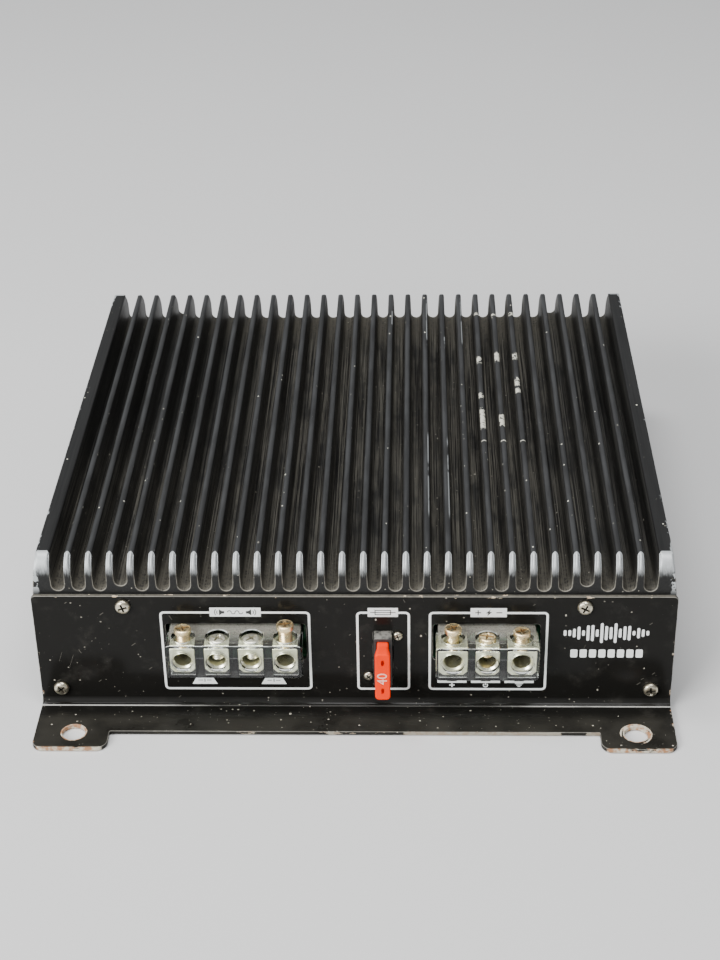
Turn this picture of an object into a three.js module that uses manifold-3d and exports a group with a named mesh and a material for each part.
// Car amplifier: finned aluminium extrusion closed by two bent steel end panels, with clear
// screw-terminal blocks and a blade fuse at the front, inputs and level controls at the rear.
// Millimetres, +Z up, front towards -Y. The origin is the middle of the footprint, on the
// surface that the mounting flanges rest on.
import * as THREE from 'three';
import { mergeVertices } from 'three/addons/utils/BufferGeometryUtils.js';
import Module from 'manifold-3d';

const wasm = await Module();
wasm.setup();

// ---------------------------------------------------------------- driving dimensions

const CLEARANCE = 0.2;              // between pieces that touch on the real object

// End panels: 1.5 mm steel, bent outwards at the foot into a flange with two tabs
const PANEL = {
  width: 220,
  height: 46.2,
  sheet: 1.5,
  topCorner: 1.6,                   // radius of the two upper corners
  bend: 2.4,                        // inside radius of the foot bend
  flangeDepth: 16.7,
  tabDepth: 25.8,
  tabWidth: 25.7,
  tabCorner: 3.8,
  holeDiameter: 8.0,
  holeX: 96.5,
  holeFromFace: 17.5,
  screwHole: 1.6,                   // radius of the holes for the panel screws
};

// Heatsink: one extrusion, open at the bottom
const HEATSINK = {
  length: 209,
  top: 60.4,
  valleyFloor: 47.4,
  portValleyFloor: 49.4,            // the valley over each upper screw port is shallower
  underside: 43.8,
  finCount: 28,
  finPitch: 7.18,
  finTipRadius: 1.1,
  valleyRadius: 2.14,
  portValley: 3,                    // which valley, counted from each side, is over the port
  sideX: 109.5,
  shoulderX: 107.9,
  innerX: 105.5,
  wallTipX: 103.1,                  // inner edge of the wide corner walls, at the top
  edgeBevel: 0.7,
  shoulderZ: 46,
  footZ: 0.8,
  noseLength: 5.1,                  // rounding of the fin ends, along the fin
  noseDrop: 6.5,                    // and downwards
  sideGrooves: [13, 22, 31],
  grooveHalf: 0.9,
  grooveDepth: 0.6,
};

// Screw ports that run through the extrusion and take the panel screws
const PORT = {
  upperX: 78.6,
  upperZ: 42.3,
  lowerX: 102.8,
  lowerZ: 7.7,
  radius: 1.6,
  wall: 1.6,
};

// Base plate and circuit board slide in grooves of the side walls
const BASE = { thickness: 1.2, z: 2.0, halfWidth: 107.0, slotTop: 3.4, lipTop: 1.8, lipX: 104, slotX: 107.3 };
const BOARD = {
  thickness: 1.6,
  z: 18.6,
  halfWidth: 105.2,
  halfLength: 104,
  ribX: 103.4,
  rib: 1.4,
  notchRoomX: 2,                    // round the ears of the fuse holder
  notchRoomY: 6,
};
const BOARD_TOP = BOARD.z + BOARD.thickness;

const FACE_Y = HEATSINK.length / 2 + CLEARANCE + PANEL.sheet;   // outer face of an end panel
const INNER_FACE_Y = FACE_Y - PANEL.sheet;

// Clear terminal blocks: sizes outwards from the panel face, heights from the table
const BLOCK = {
  pitch: 11.65,
  top: 34.1,
  bottom: 20.6,
  wall: 1.5,
  floor: 0.7,
  rear: 7.2,                        // how far the housing reaches behind the panel face
  corner: 1.6,
  screwWell: 3.8,                   // radius of the round wells in the top
  panelGap: 0.8,
};
const TERMINAL = {
  top: 32.2,
  bottom: 22.3,
  bevel: 1.5,
  back: 1.7,                        // rear face, outwards from the panel face
  backWall: 1.2,
  headSeat: 0.8,
  headSeatRadius: 3.15,
  threadRadius: 2.6,
  postHalf: 2.2,
  tangHalf: 2.5,
  tangZ: 23.4,
  tangThickness: 1.4,
  tangEnd: 10.2,
  tangFoot: 1.6,
};
const SPEAKER_BLOCK = { x: -40.5, reach: 12.0, axisY: 6.0 };
const POWER_BLOCK = { x: 45.5, reach: 13.2, axisY: 6.6 };
const SPEAKER_BORE = { width: 8.5, radius: 3.0, z: 27.2, mouth: 3.5 };
const POWER_BORE = { width: 9.9, radius: 3.0, z: 27.5, mouth: 3.9 };
const REMOTE_BORE = { width: 8.1, radius: 3.0, z: 27.5, mouth: 3.7 };

// Terminal screws: `under` is the height of the underside of each head
const CLAMP_SCREW = { headRadius: 2.95, head: 1.9, chamfer: 0.4, radius: 2.4, length: 6.8, point: 1.4 };
const SPEAKER_SCREW_UNDER = [35.6, 31.45, 31.45, 37.3];
const BATTERY_SCREW_UNDER = 36.3;
const REMOTE_SCREW_UNDER = 32.8;
const GROUND_SCREW_UNDER = 35.1;

// Panel screws and the two small screws of the fuse holder
const PAN_SCREW = { headRadius: 2.65, head: 1.8, radius: 1.3, length: 10 };
const SMALL_SCREW = { headRadius: 1.7, head: 1.2, radius: 0.85, length: 4.6 };

// Shape of a pan head, in shares of its radius and height
const SCREW_DOME = { flat: 0.55, shoulder: 0.9, shoulderHeight: 0.7, rim: 0.3 };

// Blade fuse, standing on end, and its holder
const FUSE = {
  x: 10.0,
  z: 21.7,
  width: 5.2,
  height: 19.2,
  headDepth: 6.0,
  waistWidth: 4.0,
  waistHeight: 17.4,
  bodyDepth: 12.3,
  front: 12.8,                      // front of the fuse, outwards from the panel face
  corner: 1.4,
  slotStart: 2.5,                   // bottom of the slot that takes the blades
  bladeSpan: 14.6,
  bladeWidth: 5.2,
  blade: 0.7,
  bladeTip: 6.5,
  link: 2.4,
};
const HOLDER = {
  width: 6.4,
  height: 20.2,
  reach: 4.5,
  rear: 17,
  corner: 0.8,
  pocketDepth: 4.4,
  earWidth: 17,
  earHeight: 24,
  ear: 2,
  screwX: 5.1,
  screwZ: 8.5,
  clipRoomX: 3.4,
  clipRoomZ: 6.2,
};
const CONTACT = { room: 0.3, headRoom: 0.6, base: 2, tail: 4 };

// Rear controls, all on one line
const REAR = {
  z: 26.6,
  jackX: [66, 80],
  remoteX: 42,
  knobX: [14, -10, -34],
  ledX: [-60, -70],
};
const JACK = {
  block: [29, 12, 14],
  shell: 4.15,
  bore: 1.7,
  collar: 5.2,
  seatDepth: 4,
  floor: 1.2,
  reach: 9.5,
  chamfer: 0.3,
  hole: 4.6,
};
const MODULAR = { size: [13, 14, 11], mouth: [9.8, 12, 7.2], wall: 1.6 };
const POT = { size: [9.8, 7, 11.6], boss: 3.4, bossWall: 0.8, bossLength: 3.2, shaft: 2.9, hole: 3.7 };
const KNOB = {
  radius: 4.6,
  tip: 4.1,
  length: 7.5,
  standOff: 0.6,
  chamfer: 0.4,
  pointer: 0.8,
  pointerRise: 0.5,
  pointerRoom: 0.6,
};
const LED = {
  radius: 1.5,
  dome: { top: 0.6, topHeight: 0.8, side: 0.95, sideHeight: 0.3 },
  reach: 1.6,
  flange: 1.9,
  flangeThickness: 1,
  stem: 0.9,
  stemLength: 6,
  hole: 1.75,
};

// Power stage inside
const TRANSFORMER = {
  x: -18,
  y: -28,
  core: [42, 16, 21],
  leg: 5,
  yoke: 3.5,
  window: 10,
  winding: 4.6,
  windingX: 8.3,
};
const INDUCTOR = { x: 38, y: 8, flange: 13, post: 6, height: 20, flangeThickness: 2.6, winding: 11.5 };
const CAPACITOR = { x: 52, y: [-34, -56], radius: 9, height: 21, edge: 1.2 };
const TRANSISTOR = {
  y: [-26, 26],
  spacing: 9.5,
  body: [4.8, 15.6, 17],
  z: 24.2,
  leg: 1.1,
  legPitch: 3.3,
  legX: 3.4,
};
const CLAMP = { halfLength: 24, thickness: 2.2, z: 31, height: 7, foot: 4 };

// ---------------------------------------------------------------- finishes

const finish = (color, roughness, metalness) => ({ color, roughness, metalness });
const FINISH = {
  blackAnodised: finish(0x161616, 0.45, 0.6),
  blackEnamel: finish(0x0d0d0c, 0.2, 0.1),
  zincSteel: finish(0x8f9193, 0.4, 0.9),
  nickel: finish(0xc9c6b8, 0.25, 1.0),
  copperedSteel: finish(0xc08a55, 0.3, 1.0),
  clearPlastic: { ...finish(0xdfe9e4, 0.1, 0.0), transparent: true, opacity: 0.35 },
  blackPlastic: finish(0x1c1d1e, 0.55, 0.0),
  orangePlastic: finish(0xf0441a, 0.3, 0.0),
  brass: finish(0xb8963f, 0.35, 1.0),
  boardGreen: finish(0x1f5a34, 0.5, 0.0),
  ferrite: finish(0x2b2b2d, 0.7, 0.1),
  enamelledWire: finish(0xa8541f, 0.35, 0.7),
  canSleeve: finish(0x1b2a4a, 0.4, 0.0),
  epoxy: finish(0x18181a, 0.6, 0.0),
  greenLens: finish(0x2f9b3a, 0.15, 0.0),
  redLens: finish(0xb3201c, 0.15, 0.0),
};

// ---------------------------------------------------------------- solids

const X = new THREE.Vector3(1, 0, 0);
const Y = new THREE.Vector3(0, 1, 0);
const Z = new THREE.Vector3(0, 0, 1);

/** A closed three.js geometry as a manifold solid. */
function toSolid(geometry) {
  const bare = geometry.clone();
  bare.deleteAttribute('normal');
  bare.deleteAttribute('uv');
  const merged = mergeVertices(bare, 1e-4);
  const vertProperties = Float32Array.from(merged.attributes.position.array);
  const triVerts = Uint32Array.from(merged.index.array);
  return new wasm.Manifold(new wasm.Mesh({ numProp: 3, vertProperties, triVerts }));
}

/** A manifold solid as a geometry with flat normals. */
function toGeometry(solid) {
  const { vertProperties, triVerts } = solid.getMesh();
  const geometry = new THREE.BufferGeometry();
  geometry.setAttribute('position', new THREE.BufferAttribute(vertProperties, 3));
  geometry.setIndex(new THREE.BufferAttribute(triVerts, 1));
  geometry.computeVertexNormals();
  return geometry;
}

/** A box between two opposite corners. */
function block(low, high) {
  const size = high.map((value, axis) => value - low[axis]);
  const centre = high.map((value, axis) => (value + low[axis]) / 2);
  return toSolid(new THREE.BoxGeometry(...size).translate(...centre));
}

/** A shape drawn in the X-Z plane, extruded from y0 to y1. */
function extrudeAlongY(shape, y0, y1, curveSegments = 4) {
  const geometry = new THREE.ExtrudeGeometry(shape, { depth: y1 - y0, bevelEnabled: false, curveSegments });
  const basis = new THREE.Matrix4().makeBasis(X, Z, Y.clone().negate());
  return toSolid(geometry.applyMatrix4(basis).translate(0, y1, 0));
}

/** A shape drawn in the Y-Z plane, extruded from x0 to x1. */
function extrudeAlongX(shape, x0, x1, curveSegments = 4) {
  const geometry = new THREE.ExtrudeGeometry(shape, { depth: x1 - x0, bevelEnabled: false, curveSegments });
  const basis = new THREE.Matrix4().makeBasis(Y, Z, X);
  return toSolid(geometry.applyMatrix4(basis).translate(x0, 0, 0));
}

/** A shape drawn in the X-Y plane, extruded from z0 to z1. */
function extrudeUp(shape, z0, z1, curveSegments = 4) {
  const geometry = new THREE.ExtrudeGeometry(shape, { depth: z1 - z0, bevelEnabled: false, curveSegments });
  return toSolid(geometry.translate(0, 0, z0));
}

/** A rod along Y through (x, z). */
function rodAlongY(x, z, radius, y0, y1, sides = 16) {
  const rod = new THREE.CylinderGeometry(radius, radius, y1 - y0, sides);
  return toSolid(rod.translate(x, (y0 + y1) / 2, z));
}

/** A rod along Z through (x, y). */
function rodUp(x, y, radius, z0, z1, sides = 12) {
  const rod = new THREE.CylinderGeometry(radius, radius, z1 - z0, sides);
  return toSolid(rod.rotateX(Math.PI / 2).translate(x, y, (z0 + z1) / 2));
}

/** A profile of [radius, height] points, from the lower end to the upper, turned about +Y. */
function turned(profile, sides = 10) {
  const points = profile.map(([radius, height]) => new THREE.Vector2(radius, height));
  return toSolid(new THREE.LatheGeometry(points, sides));
}

/** A rectangle with rounded corners, centred on (x, y). */
function roundedRectangle(x, y, width, height, radius) {
  const [left, right] = [x - width / 2, x + width / 2];
  const [low, high] = [y - height / 2, y + height / 2];
  const outline = new THREE.Shape();
  outline.absarc(right - radius, low + radius, radius, -Math.PI / 2, 0, false);
  outline.absarc(right - radius, high - radius, radius, 0, Math.PI / 2, false);
  outline.absarc(left + radius, high - radius, radius, Math.PI / 2, Math.PI, false);
  outline.absarc(left + radius, low + radius, radius, Math.PI, Math.PI * 1.5, false);
  outline.closePath();
  return outline;
}

/** A round hole, as a regular polygon about (x, y). */
function circle(x, y, radius, sides = 14) {
  const corners = Array.from({ length: sides }, (_, index) => {
    const angle = (2 * Math.PI * index) / sides;
    return new THREE.Vector2(x + radius * Math.cos(angle), y + radius * Math.sin(angle));
  });
  return new THREE.Path(corners);
}

const cut = (solid, tools) => tools.reduce((left, tool) => left.subtract(tool), solid);
const join = (solids) => solids.reduce((left, right) => left.add(right));

// ---------------------------------------------------------------- assembly tree

const amplifier = new THREE.Group();

/** Adds one named piece to a group; the solid is in the group's own frame. */
function addPiece(parent, name, look, solid, position = [0, 0, 0]) {
  const mesh = new THREE.Mesh(toGeometry(solid), new THREE.MeshStandardMaterial(look));
  mesh.name = name;
  mesh.position.set(...position);
  parent.add(mesh);
  return mesh;
}

/** A group placed in the amplifier, turned about Z by `turn` radians. */
function addGroup(x, y, z, turn = 0) {
  const group = new THREE.Group();
  group.position.set(x, y, z);
  group.rotation.z = turn;
  amplifier.add(group);
  return group;
}

// ---------------------------------------------------------------- heatsink

/** The outer side of the extrusion on one side (-1 left, 1 right), listed from the top down. */
function sideOutline(side) {
  const { shoulderX, sideX, top, edgeBevel, shoulderZ, footZ, sideGrooves } = HEATSINK;
  const { grooveHalf, grooveDepth } = HEATSINK;
  const midway = (shoulderX + sideX) / 2 + grooveDepth / 2;
  const points = [
    [shoulderX - edgeBevel, top],
    [shoulderX, top - edgeBevel],
    [midway, (top + shoulderZ) / 2],
    [sideX, shoulderZ],
  ];
  for (const z of [...sideGrooves].reverse()) {
    points.push([sideX, z + grooveHalf], [sideX - grooveDepth, z], [sideX, z - grooveHalf]);
  }
  points.push([sideX, footZ]);
  return points.map(([x, z]) => [side * x, z]);
}

/** The inner side of one side wall, listed from the foot up to the top plate. */
function innerOutline(side) {
  const { innerX, footZ, underside } = HEATSINK;
  const portInner = PORT.lowerX - PORT.radius - PORT.wall;
  const portTop = PORT.lowerZ + PORT.radius + PORT.wall;
  const ribs = [BOARD.z - CLEARANCE, BOARD_TOP + CLEARANCE];
  const upperPort = PORT.radius + PORT.wall;
  return [
    [BASE.lipX, footZ],
    [BASE.lipX, BASE.lipTop],
    [BASE.slotX, BASE.lipTop],
    [BASE.slotX, BASE.slotTop],
    [portInner, BASE.slotTop],
    [portInner, portTop],
    [innerX, portTop],
    [innerX, ribs[0] - BOARD.rib],
    [BOARD.ribX, ribs[0] - BOARD.rib],
    [BOARD.ribX, ribs[0]],
    [innerX, ribs[0]],
    [innerX, ribs[1]],
    [BOARD.ribX, ribs[1]],
    [BOARD.ribX, ribs[1] + BOARD.rib],
    [innerX, ribs[1] + BOARD.rib],
    [innerX, underside],
    [PORT.upperX + upperPort, underside],
    [PORT.upperX + upperPort, PORT.upperZ - upperPort],
    [PORT.upperX - upperPort, PORT.upperZ - upperPort],
    [PORT.upperX - upperPort, underside],
  ].map(([x, z]) => [side * x, z]);
}

/** Cross-section of the extrusion in X-Z: fins, corner walls, grooves and port bosses. */
function heatsinkSection() {
  const { finCount, finPitch, finTipRadius, valleyRadius, top, wallTipX, edgeBevel } = HEATSINK;
  const outline = new THREE.Shape();
  const leftSide = sideOutline(-1).reverse();
  outline.moveTo(...leftSide[0]);
  leftSide.slice(1).forEach((point) => outline.lineTo(...point));
  outline.lineTo(-wallTipX - edgeBevel, top);
  outline.lineTo(-wallTipX, top - edgeBevel);
  for (let valley = 0; valley <= finCount; valley += 1) {
    const overPort = valley === HEATSINK.portValley || valley === finCount - HEATSINK.portValley;
    const floor = overPort ? HEATSINK.portValleyFloor : HEATSINK.valleyFloor;
    const x = (valley - finCount / 2) * finPitch;
    outline.absarc(x, floor + valleyRadius, valleyRadius, Math.PI, 2 * Math.PI, false);
    if (valley < finCount) {
      outline.absarc(x + finPitch / 2, top - finTipRadius, finTipRadius, Math.PI, 0, true);
    }
  }
  outline.lineTo(wallTipX, top - edgeBevel);
  outline.lineTo(wallTipX + edgeBevel, top);
  const rest = [...sideOutline(1), ...innerOutline(1), ...innerOutline(-1).reverse()];
  rest.forEach((point) => outline.lineTo(...point));
  outline.closePath();
  return outline;
}

/** Side view in Y-Z that rounds both ends of every fin with a quarter ellipse. */
function noseProfile() {
  const { length, top, noseLength, noseDrop, footZ } = HEATSINK;
  const end = length / 2;
  const profile = new THREE.Shape();
  profile.moveTo(-end, footZ - 1);
  profile.lineTo(end, footZ - 1);
  profile.absellipse(end - noseLength, top - noseDrop, noseLength, noseDrop, 0, Math.PI / 2, false, 0);
  profile.absellipse(noseLength - end, top - noseDrop, noseLength, noseDrop, Math.PI / 2, Math.PI, false, 0);
  profile.closePath();
  return profile;
}

function makeHeatsink() {
  const end = HEATSINK.length / 2;
  const extrusion = extrudeAlongY(heatsinkSection(), -end, end, 2);
  const envelope = extrudeAlongX(noseProfile(), -PANEL.width / 2, PANEL.width / 2, 2);
  const ports = [-1, 1].flatMap((side) => [
    rodAlongY(side * PORT.upperX, PORT.upperZ, PORT.radius, -end - 1, end + 1, 10),
    rodAlongY(side * PORT.lowerX, PORT.lowerZ, PORT.radius, -end - 1, end + 1, 10),
  ]);
  const body = cut(extrusion.intersect(envelope), ports);
  addPiece(amplifier, 'heatsink', FINISH.blackAnodised, body);
}

function makeBasePlate() {
  const end = HEATSINK.length / 2 - CLEARANCE;
  const low = [-BASE.halfWidth, -end, BASE.z];
  const high = [BASE.halfWidth, end, BASE.z + BASE.thickness];
  addPiece(amplifier, 'base_plate', FINISH.zincSteel, block(low, high));
}

// ---------------------------------------------------------------- end panels

// An end panel is built in its own frame: Y = 0 is its outer face and -Y points outwards.

/** Bent sheet seen from the side, in Y-Z: upright, bend, and flange to the full tab depth. */
function bentSheet() {
  const { width, height, sheet, bend, tabDepth } = PANEL;
  const outer = bend + sheet;
  const section = new THREE.Shape();
  section.moveTo(sheet, height);
  section.lineTo(0, height);
  section.absarc(-bend, outer, bend, 0, -Math.PI / 2, true);
  section.lineTo(-tabDepth, sheet);
  section.lineTo(-tabDepth, 0);
  section.absarc(-bend, outer, outer, -Math.PI / 2, 0, false);
  section.closePath();
  return extrudeAlongX(section, -width / 2, width / 2, 2);
}

/** Plan of the panel in X-Y: the flange steps out into a tab with a hole at each end. */
function panelPlan() {
  const { width, sheet, tabDepth, tabWidth, tabCorner, flangeDepth, holeFromFace } = PANEL;
  const side = width / 2;
  const inner = side - tabWidth;
  const plan = new THREE.Shape();
  plan.moveTo(side, sheet + 1);
  plan.lineTo(-side, sheet + 1);
  plan.absarc(tabCorner - side, tabCorner - tabDepth, tabCorner, Math.PI, 1.5 * Math.PI, false);
  plan.absarc(-inner - tabCorner, tabCorner - tabDepth, tabCorner, 1.5 * Math.PI, 2 * Math.PI, false);
  plan.lineTo(-inner, -flangeDepth);
  plan.lineTo(inner, -flangeDepth);
  plan.absarc(inner + tabCorner, tabCorner - tabDepth, tabCorner, Math.PI, 1.5 * Math.PI, false);
  plan.absarc(side - tabCorner, tabCorner - tabDepth, tabCorner, 1.5 * Math.PI, 2 * Math.PI, false);
  plan.closePath();
  for (const end of [-1, 1]) {
    plan.holes.push(circle(end * PANEL.holeX, -holeFromFace, PANEL.holeDiameter / 2, 20));
  }
  return plan;
}

/** Elevation of the panel in X-Z with rounded upper corners and the given holes. */
function panelElevation(openings) {
  const { width, height, topCorner, screwHole } = PANEL;
  const side = width / 2;
  const elevation = new THREE.Shape();
  elevation.moveTo(-side, -1);
  elevation.lineTo(side, -1);
  elevation.absarc(side - topCorner, height - topCorner, topCorner, 0, Math.PI / 2, false);
  elevation.absarc(topCorner - side, height - topCorner, topCorner, Math.PI / 2, Math.PI, false);
  elevation.closePath();
  for (const end of [-1, 1]) {
    elevation.holes.push(circle(end * PORT.upperX, PORT.upperZ, screwHole));
    elevation.holes.push(circle(end * PORT.lowerX, PORT.lowerZ, screwHole));
  }
  elevation.holes.push(...openings);
  return elevation;
}

function makeEndPanel(group, name, openings) {
  const upright = extrudeAlongY(panelElevation(openings), -PANEL.tabDepth - 1, PANEL.sheet + 1, 1);
  const plan = extrudeUp(panelPlan(), -1, PANEL.height + 1, 2);
  addPiece(group, name, FINISH.blackEnamel, bentSheet().intersect(upright).intersect(plan));
}

/** A screw along Y: the head's underside is at the origin and the head points to -Y. */
function screwAlongY({ headRadius, head, radius, length }) {
  const tip = radius;
  const profile = [
    [0, -head],
    [headRadius * SCREW_DOME.flat, -head],
    [headRadius * SCREW_DOME.shoulder, -head * SCREW_DOME.shoulderHeight],
    [headRadius, -head * SCREW_DOME.rim],
    [headRadius, 0],
    [radius, 0],
    [radius, length - tip],
    [0, length],
  ];
  return turned(profile, 10);
}

/** The four pan-head screws of one end panel. */
function makePanelScrews(group, prefix) {
  const places = [
    [-PORT.upperX, PORT.upperZ],
    [PORT.upperX, PORT.upperZ],
    [-PORT.lowerX, PORT.lowerZ],
    [PORT.lowerX, PORT.lowerZ],
  ];
  places.forEach(([x, z], index) => {
    const name = `${prefix}_panel_screw_${index + 1}`;
    addPiece(group, name, FINISH.nickel, screwAlongY(PAN_SCREW), [x, -CLEARANCE / 2, z]);
  });
}

// ---------------------------------------------------------------- terminal blocks

// A block is built in its own frame: X = 0 is its middle, Y = 0 the panel's outer face.

const cellX = (index, count) => (index - (count - 1) / 2) * BLOCK.pitch;

function blockOpening({ x }, count) {
  const width = count * BLOCK.pitch + 2 * BLOCK.panelGap;
  const height = BLOCK.top - BLOCK.bottom + 2 * BLOCK.panelGap;
  return roundedRectangle(x, (BLOCK.top + BLOCK.bottom) / 2, width, height, BLOCK.panelGap);
}

/** Clear housing: one pocket per terminal, open at the rear, with a wire mouth and a screw well. */
function blockHousing({ reach, axisY }, bores) {
  const { top, bottom, wall, floor, rear, corner, screwWell, pitch } = BLOCK;
  const width = bores.length * pitch;
  const outline = roundedRectangle(0, (top + bottom) / 2, width, top - bottom, corner);
  const tools = bores.flatMap((bore, index) => {
    const x = cellX(index, bores.length);
    const half = bore.width / 2 + CLEARANCE;
    return [
      block([x - half, wall - reach, bottom + floor], [x + half, rear + 1, TERMINAL.top + CLEARANCE]),
      rodAlongY(x, bore.z, bore.mouth, -reach - 1, wall - reach + 1, 16),
      rodUp(x, -axisY, screwWell, TERMINAL.top - 1, top + 1, 14),
    ];
  });
  return cut(extrudeAlongY(outline, -reach, rear, 2), tools);
}

/** Plated terminal: bevelled barrel with a wire bore, a threaded hole and a solder tang. */
function terminal({ reach, axisY }, bore) {
  const { top, bottom, bevel, back, backWall, headSeat, headSeatRadius, threadRadius } = TERMINAL;
  const { postHalf, tangHalf, tangZ, tangThickness, tangEnd, tangFoot } = TERMINAL;
  const front = BLOCK.wall + CLEARANCE - reach;
  const half = bore.width / 2;
  const face = new THREE.Shape();
  face.moveTo(-half, top);
  face.lineTo(half, top);
  face.lineTo(half, bottom + bevel);
  face.lineTo(half - bevel, bottom);
  face.lineTo(bevel - half, bottom);
  face.lineTo(-half, bottom + bevel);
  face.closePath();
  const postBottom = BLOCK.bottom + BLOCK.floor + CLEARANCE;
  const footZ = BOARD_TOP + CLEARANCE;
  const body = join([
    extrudeAlongY(face, front, -back),
    block([-postHalf, -axisY - postHalf, postBottom], [postHalf, postHalf - axisY, bottom + 1]),
    block([-tangHalf, -back - 1, tangZ], [tangHalf, tangEnd, tangZ + tangThickness]),
    block([-tangHalf, tangEnd - tangFoot, footZ], [tangHalf, tangEnd, tangZ + tangThickness]),
  ]);
  return cut(body, [
    rodAlongY(0, bore.z, bore.radius, front - 1, -back - backWall),
    rodUp(0, -axisY, threadRadius, bore.z, top + 1),
    rodUp(0, -axisY, headSeatRadius, top - headSeat, top + 1),
  ]);
}

/** A cheese-head clamping screw along Z; the head's underside is at the origin. */
function clampScrew() {
  const { headRadius, head, chamfer, radius, length, point } = CLAMP_SCREW;
  const profile = [
    [0, -length],
    [radius - point, -length],
    [radius, point - length],
    [radius, 0],
    [headRadius, 0],
    [headRadius, head - chamfer],
    [headRadius - chamfer, head],
    [0, head],
  ];
  const points = profile.map(([r, h]) => new THREE.Vector2(r, h));
  return toSolid(new THREE.LatheGeometry(points, 10).rotateX(Math.PI / 2));
}

/** One block: housing, terminals and screws, in the order from left to right. */
function makeBlock(place, prefix, cells) {
  const group = addGroup(place.x, -FACE_Y, 0);
  const bores = cells.map((cell) => cell.bore);
  addPiece(group, `${prefix}_block_housing`, FINISH.clearPlastic, blockHousing(place, bores));
  cells.forEach((cell, index) => {
    const x = cellX(index, cells.length);
    addPiece(group, cell.terminal, FINISH.nickel, terminal(place, cell.bore), [x, 0, 0]);
    addPiece(group, cell.screw, FINISH.copperedSteel, clampScrew(), [x, -place.axisY, cell.under]);
  });
}

// ---------------------------------------------------------------- fuse and holder

// Both are built about the middle of the fuse, with Y = 0 at the panel's outer face.

/** Heights of the middles of the two blades. */
const BLADE_Z = [-1, 1].map((side) => (side * (FUSE.bladeSpan - FUSE.bladeWidth)) / 2);

function fuseBody() {
  const { width, height, headDepth, waistWidth, waistHeight, bodyDepth, front, corner, blade } = FUSE;
  const head = roundedRectangle(0, 0, width, height, corner);
  const waist = roundedRectangle(0, 0, waistWidth, waistHeight, corner / 2);
  const slotHalf = blade / 2 + CLEARANCE;
  const slotEnd = FUSE.bladeSpan / 2 + CLEARANCE;
  return cut(join([
    extrudeAlongY(head, -front, headDepth - front, 2),
    extrudeAlongY(waist, headDepth - front - 1, bodyDepth - front, 1),
  ]), [block([-slotHalf, FUSE.slotStart - front, -slotEnd], [slotHalf, bodyDepth - front + 1, slotEnd])]);
}

/** Two blades joined by the fusible link, stamped from one sheet. */
function fuseElement() {
  const { blade, bladeWidth, bladeTip, bodyDepth, front, link } = FUSE;
  const start = FUSE.slotStart + CLEARANCE - front;
  const end = bodyDepth + bladeTip - front;
  const half = blade / 2;
  const blades = BLADE_Z.map((z) => (
    block([-half, start, z - bladeWidth / 2], [half, end, z + bladeWidth / 2])
  ));
  const bridge = block([-half, start + link, BLADE_Z[0]], [half, start + 2 * link, BLADE_Z[1]]);
  return join([...blades, bridge]);
}

function fuseHolder() {
  const { width, height, reach, rear, corner, pocketDepth, earWidth, earHeight, ear } = HOLDER;
  const { clipRoomX, clipRoomZ, screwX, screwZ } = HOLDER;
  const earFront = PANEL.sheet + CLEARANCE;
  const frame = extrudeAlongY(roundedRectangle(0, 0, width, height, corner), -reach, rear, 1);
  const ears = block([-earWidth / 2, earFront, -earHeight / 2], [earWidth / 2, earFront + ear, earHeight / 2]);
  const pocketX = FUSE.waistWidth / 2 + CLEARANCE;
  const pocketZ = FUSE.waistHeight / 2 + CLEARANCE;
  const clipRooms = BLADE_Z.map((z) => (
    block([-clipRoomX / 2, -1, z - clipRoomZ / 2], [clipRoomX / 2, rear + 1, z + clipRoomZ / 2])
  ));
  const screwHoles = [-1, 1].map((side) => (
    rodAlongY(side * screwX, side * screwZ, SMALL_SCREW.radius + CLEARANCE, 0, earFront + ear + 1, 10)
  ));
  return cut(frame.add(ears), [
    block([-pocketX, -reach - 1, -pocketZ], [pocketX, pocketDepth - reach, pocketZ]),
    ...clipRooms,
    ...screwHoles,
  ]);
}

/** A folded spring clip that grips one blade, with a solder tail to the rear. */
function fuseContact() {
  const { room, headRoom, tail, base } = CONTACT;
  const [halfX, halfZ] = [HOLDER.clipRoomX / 2 - room, HOLDER.clipRoomZ / 2 - room];
  const start = FUSE.bodyDepth - FUSE.front + headRoom;
  const end = HOLDER.rear - base;
  const slit = FUSE.blade / 2 + CLEARANCE;
  const slitEnd = FUSE.bodyDepth + FUSE.bladeTip - FUSE.front + headRoom;
  return cut(join([
    block([-halfX, start, -halfZ], [halfX, end, halfZ]),
    block([-slit, end - 1, -halfZ / 2], [slit, HOLDER.rear + tail, halfZ / 2]),
  ]), [block([-slit, start - 1, -halfZ - 1], [slit, slitEnd, halfZ + 1])]);
}

function makeFuse() {
  const group = addGroup(FUSE.x, -FACE_Y, FUSE.z);
  addPiece(group, 'fuse_holder', FINISH.blackPlastic, fuseHolder());
  BLADE_Z.forEach((z, index) => {
    addPiece(group, `fuse_contact_${index + 1}`, FINISH.brass, fuseContact(), [0, 0, z]);
  });
  [1, -1].forEach((side, index) => {
    const place = [side * HOLDER.screwX, -CLEARANCE / 2, side * HOLDER.screwZ];
    addPiece(group, `fuse_holder_screw_${index + 1}`, FINISH.nickel, screwAlongY(SMALL_SCREW), place);
  });
  addPiece(group, 'fuse_body', FINISH.orangePlastic, fuseBody());
  addPiece(group, 'fuse_element', FINISH.zincSteel, fuseElement());
}

/** Opening in the front panel round the holder, and the two small screw holes. */
function fuseOpenings() {
  const { width, height, corner, screwX, screwZ } = HOLDER;
  const radius = SMALL_SCREW.radius + CLEARANCE;
  return [
    roundedRectangle(FUSE.x, FUSE.z, width + 2 * CLEARANCE, height + 2 * CLEARANCE, corner),
    circle(FUSE.x + screwX, FUSE.z + screwZ, radius),
    circle(FUSE.x - screwX, FUSE.z - screwZ, radius),
  ];
}

// ---------------------------------------------------------------- board and power stage

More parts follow.
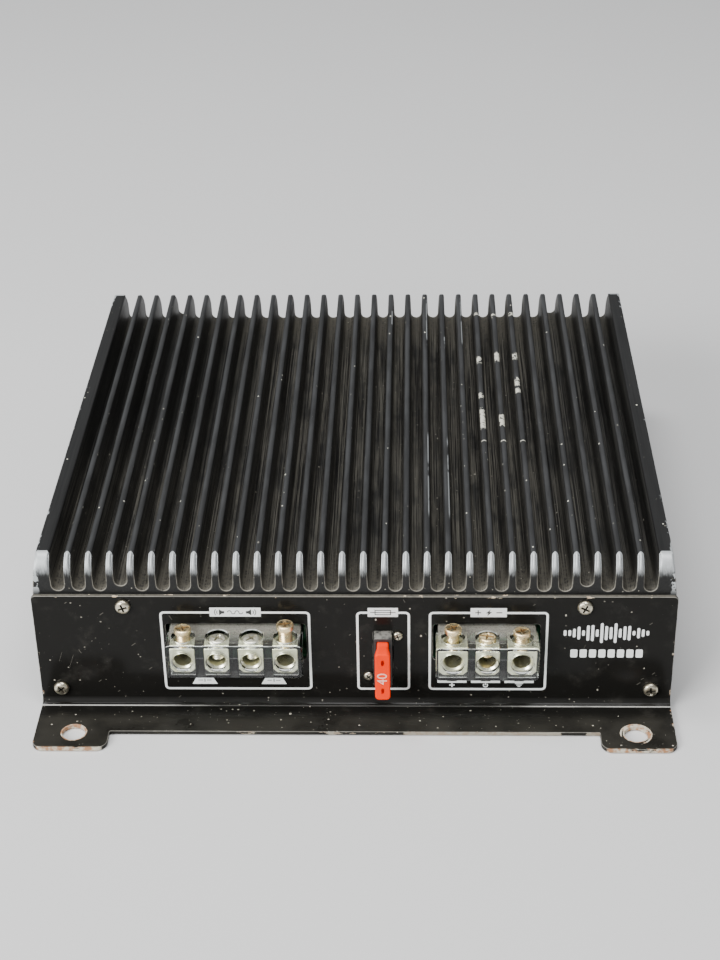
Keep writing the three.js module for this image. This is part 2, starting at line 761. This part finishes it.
/** Circuit board, notched at the front for the fuse holder. */
function makeBoard() {
  const { halfWidth, halfLength, z } = BOARD;
  const board = block([-halfWidth, -halfLength, z], [halfWidth, halfLength, BOARD_TOP]);
  const notchHalf = HOLDER.earWidth / 2 + BOARD.notchRoomX;
  const notchEnd = HOLDER.rear + BOARD.notchRoomY - FACE_Y;
  const notch = block([FUSE.x - notchHalf, -halfLength - 1, z - 1], [FUSE.x + notchHalf, notchEnd, BOARD_TOP + 1]);
  addPiece(amplifier, 'circuit_board', FINISH.boardGreen, board.subtract(notch));
}

/** Ferrite core with two windows, and the winding round its middle leg. */
function makeTransformer() {
  const { x, y, core, leg, yoke, window, winding, windingX } = TRANSFORMER;
  const [width, depth, height] = core;
  const group = addGroup(x, y, BOARD_TOP + CLEARANCE);
  const body = block([-width / 2, -depth / 2, 0], [width / 2, depth / 2, height]);
  const windows = [-1, 1].map((side) => {
    const [near, far] = [side * leg, side * (leg + window)];
    const low = [Math.min(near, far), -depth, yoke];
    return block(low, [Math.max(near, far), depth, height - yoke]);
  });
  addPiece(group, 'transformer_core', FINISH.ferrite, cut(body, windows));
  const room = 2 * CLEARANCE;
  const [innerX, innerY] = [leg + room, depth / 2 + room];
  const [outerX, outerY] = [innerX + windingX, innerY + winding];
  const coil = block([-outerX, -outerY, yoke + room], [outerX, outerY, height - yoke - room]);
  const hole = block([-innerX, -innerY, 0], [innerX, innerY, height]);
  addPiece(group, 'transformer_winding', FINISH.enamelledWire, coil.subtract(hole));
}

/** Drum core and its winding. */
function makeInductor() {
  const { x, y, flange, post, height, flangeThickness, winding } = INDUCTOR;
  const z = BOARD_TOP + CLEARANCE;
  const spool = join([
    rodUp(0, 0, flange, 0, flangeThickness, 14),
    rodUp(0, 0, post, 0, height, 14),
    rodUp(0, 0, flange, height - flangeThickness, height, 14),
  ]);
  addPiece(amplifier, 'inductor_core', FINISH.ferrite, spool, [x, y, z]);
  const room = 2 * CLEARANCE;
  const [low, high] = [flangeThickness + room, height - flangeThickness - room];
  const coil = rodUp(0, 0, winding, low, high, 14).subtract(rodUp(0, 0, post + room, 0, height, 14));
  addPiece(amplifier, 'inductor_winding', FINISH.enamelledWire, coil, [x, y, z]);
}

function makeCapacitors() {
  const { x, y, radius, height, edge } = CAPACITOR;
  const profile = [
    [0, 0],
    [radius - edge, 0],
    [radius, edge],
    [radius, height - edge],
    [radius - edge, height],
    [0, height],
  ];
  const points = profile.map(([r, h]) => new THREE.Vector2(r, h));
  const can = toSolid(new THREE.LatheGeometry(points, 16).rotateX(Math.PI / 2));
  y.forEach((place, index) => {
    addPiece(amplifier, `capacitor_${index + 1}`, FINISH.canSleeve, can, [x, place, BOARD_TOP + CLEARANCE]);
  });
}

/** Transistors stand against the side walls, two to a wall, each pair under one clamp. */
function makeTransistors() {
  const { y, spacing, body, z, leg, legPitch, legX } = TRANSISTOR;
  const [thickness, width, height] = body;
  let number = 0;
  [-1, 1].forEach((side, wall) => {
    const group = addGroup(side * (HEATSINK.innerX - CLEARANCE), y[wall], 0, side > 0 ? 0 : Math.PI);
    for (const step of [-1, 1]) {
      const legs = [-1, 0, 1].map((place) => {
        const legY = place * legPitch;
        const low = [-legX - leg / 2, legY - leg / 2, BOARD_TOP + CLEARANCE];
        return block(low, [leg / 2 - legX, legY + leg / 2, z + 1]);
      });
      const moulded = block([-thickness, -width / 2, z], [0, width / 2, z + height]);
      number += 1;
      const name = `power_transistor_${number}`;
      addPiece(group, name, FINISH.epoxy, join([moulded, ...legs]), [0, step * spacing, 0]);
    }
    addPiece(group, `transistor_clamp_${wall + 1}`, FINISH.zincSteel, transistorClamp());
  });
}

/** Steel bridge: a bar across two transistors with a foot to the wall at each end. */
function transistorClamp() {
  const { halfLength, thickness, z, height, foot } = CLAMP;
  const inner = -TRANSISTOR.body[0] - CLEARANCE;
  const bar = block([inner - thickness, -halfLength, z], [inner, halfLength, z + height]);
  const feet = [-1, 1].map((side) => {
    const ends = [side * halfLength, side * (halfLength - foot)].sort((a, b) => a - b);
    return block([inner - 1, ends[0], z], [0, ends[1], z + height]);
  });
  return join([bar, ...feet]);
}

// ---------------------------------------------------------------- rear connections

// Built in the rear group's frame: Y = 0 is the panel's outer face and -Y points outwards.

function makeInputJacks(group) {
  const { block: size, shell, bore, collar, reach, chamfer, seatDepth, floor } = JACK;
  const [width, depth, height] = size;
  const middle = (REAR.jackX[0] + REAR.jackX[1]) / 2;
  const base = BOARD_TOP + CLEARANCE;
  const front = PANEL.sheet + CLEARANCE;
  const seat = front + seatDepth;
  const housing = block([-width / 2, front, base], [width / 2, front + depth, base + height]);
  const seats = REAR.jackX.map((x) => rodAlongY(x - middle, REAR.z, collar + 2 * CLEARANCE, 0, seat));
  const housingPlace = [-middle, 0, 0];
  addPiece(group, 'input_jack_block', FINISH.blackPlastic, cut(housing, seats), housingPlace);
  const profile = [
    [bore, -reach],
    [shell - chamfer, -reach],
    [shell, chamfer - reach],
    [shell, front],
    [collar, front],
    [collar, seat - CLEARANCE],
    [0, seat - CLEARANCE],
    [0, seat - floor],
    [bore, seat - floor],
    [bore, -reach],
  ];
  ['input_jack_1', 'input_jack_2'].forEach((name, index) => {
    addPiece(group, name, FINISH.nickel, turned(profile, 16), [-REAR.jackX[index], 0, REAR.z]);
  });
}

function makeRemoteJack(group) {
  const [width, depth, height] = MODULAR.size;
  const [mouthWidth, mouthDepth, mouthHeight] = MODULAR.mouth;
  const base = BOARD_TOP + CLEARANCE;
  const front = PANEL.sheet + CLEARANCE;
  const body = block([-width / 2, front, base], [width / 2, front + depth, base + height]);
  const low = [-mouthWidth / 2, front - 1, base + MODULAR.wall];
  const mouth = block(low, [mouthWidth / 2, front + mouthDepth, base + MODULAR.wall + mouthHeight]);
  addPiece(group, 'remote_level_jack', FINISH.blackPlastic, body.subtract(mouth), [-REAR.remoteX, 0, 0]);
}

/** Potentiometer body on the board, and its knob with the shaft that reaches into it. */
function makeControls(group) {
  const [width, depth, height] = POT.size;
  const base = BOARD_TOP + CLEARANCE;
  const bodyFront = PANEL.sheet + POT.bossLength;
  const shaftEnd = bodyFront + depth / 2;
  const body = block([-width / 2, bodyFront, base], [width / 2, bodyFront + depth, base + height]);
  const boss = rodAlongY(0, REAR.z, POT.boss + POT.bossWall, PANEL.sheet + CLEARANCE, bodyFront + 1, 16);
  const hole = rodAlongY(0, REAR.z, POT.boss, 0, shaftEnd + CLEARANCE, 16);
  const pot = body.add(boss).subtract(hole);
  const outer = -KNOB.standOff - KNOB.length;
  const knob = turned([
    [0, outer],
    [KNOB.tip - KNOB.chamfer, outer],
    [KNOB.tip, outer + KNOB.chamfer],
    [KNOB.radius, -KNOB.standOff],
    [POT.shaft, -KNOB.standOff],
    [POT.shaft, shaftEnd],
    [0, shaftEnd],
  ], 16);
  const rib = KNOB.pointer / 2;
  const low = [-rib, outer - KNOB.pointerRise, 0];
  const pointer = block(low, [rib, outer + 1, KNOB.tip - KNOB.pointerRoom]);
  ['level', 'low_pass', 'bass_boost'].forEach((name, index) => {
    const x = -REAR.knobX[index];
    addPiece(group, `${name}_pot`, FINISH.zincSteel, pot, [x, 0, 0]);
    addPiece(group, `${name}_knob`, FINISH.blackPlastic, knob.add(pointer), [x, 0, REAR.z]);
  });
}

function makeLeds(group) {
  const { radius, flange, flangeThickness, reach, dome, stem, stemLength } = LED;
  const inside = PANEL.sheet + CLEARANCE;
  const profile = [
    [0, -reach],
    [radius * dome.top, -reach * dome.topHeight],
    [radius * dome.side, -reach * dome.sideHeight],
    [radius, 0],
    [radius, inside],
    [flange, inside],
    [flange, inside + flangeThickness],
    [stem, inside + flangeThickness],
    [stem, inside + stemLength],
    [0, inside + stemLength],
  ];
  const lens = turned(profile, 10);
  addPiece(group, 'power_led', FINISH.greenLens, lens, [-REAR.ledX[0], 0, REAR.z]);
  addPiece(group, 'protection_led', FINISH.redLens, lens, [-REAR.ledX[1], 0, REAR.z]);
}

/** Openings in the rear panel, in the rear group's frame. */
function rearOpenings() {
  const [mouthWidth, , mouthHeight] = MODULAR.mouth;
  const mouthZ = BOARD_TOP + CLEARANCE + MODULAR.wall + mouthHeight / 2;
  return [
    ...REAR.jackX.map((x) => circle(-x, REAR.z, JACK.hole)),
    ...REAR.knobX.map((x) => circle(-x, REAR.z, POT.hole)),
    ...REAR.ledX.map((x) => circle(-x, REAR.z, LED.hole)),
    roundedRectangle(-REAR.remoteX, mouthZ, mouthWidth, mouthHeight, 0.5),
  ];
}

// ---------------------------------------------------------------- build

makeHeatsink();
makeBasePlate();

const frontEnd = addGroup(0, -FACE_Y, 0);
makeEndPanel(frontEnd, 'front_panel', [
  blockOpening(SPEAKER_BLOCK, 4),
  blockOpening(POWER_BLOCK, 3),
  ...fuseOpenings(),
]);
makePanelScrews(frontEnd, 'front');

makeBlock(SPEAKER_BLOCK, 'speaker', SPEAKER_SCREW_UNDER.map((under, index) => ({
  bore: SPEAKER_BORE,
  terminal: `speaker_terminal_${index + 1}`,
  screw: `speaker_screw_${index + 1}`,
  under,
})));
makeBlock(POWER_BLOCK, 'power', [
  { bore: POWER_BORE, terminal: 'battery_terminal', screw: 'battery_screw', under: BATTERY_SCREW_UNDER },
  { bore: REMOTE_BORE, terminal: 'remote_terminal', screw: 'remote_screw', under: REMOTE_SCREW_UNDER },
  { bore: POWER_BORE, terminal: 'ground_terminal', screw: 'ground_screw', under: GROUND_SCREW_UNDER },
]);
makeFuse();

makeBoard();
makeTransformer();
makeInductor();
makeCapacitors();
makeTransistors();

const rearEnd = addGroup(0, FACE_Y, 0, Math.PI);
makeEndPanel(rearEnd, 'rear_panel', rearOpenings());
makePanelScrews(rearEnd, 'rear');
makeInputJacks(rearEnd);
makeRemoteJack(rearEnd);
makeControls(rearEnd);
makeLeds(rearEnd);

export default amplifier;
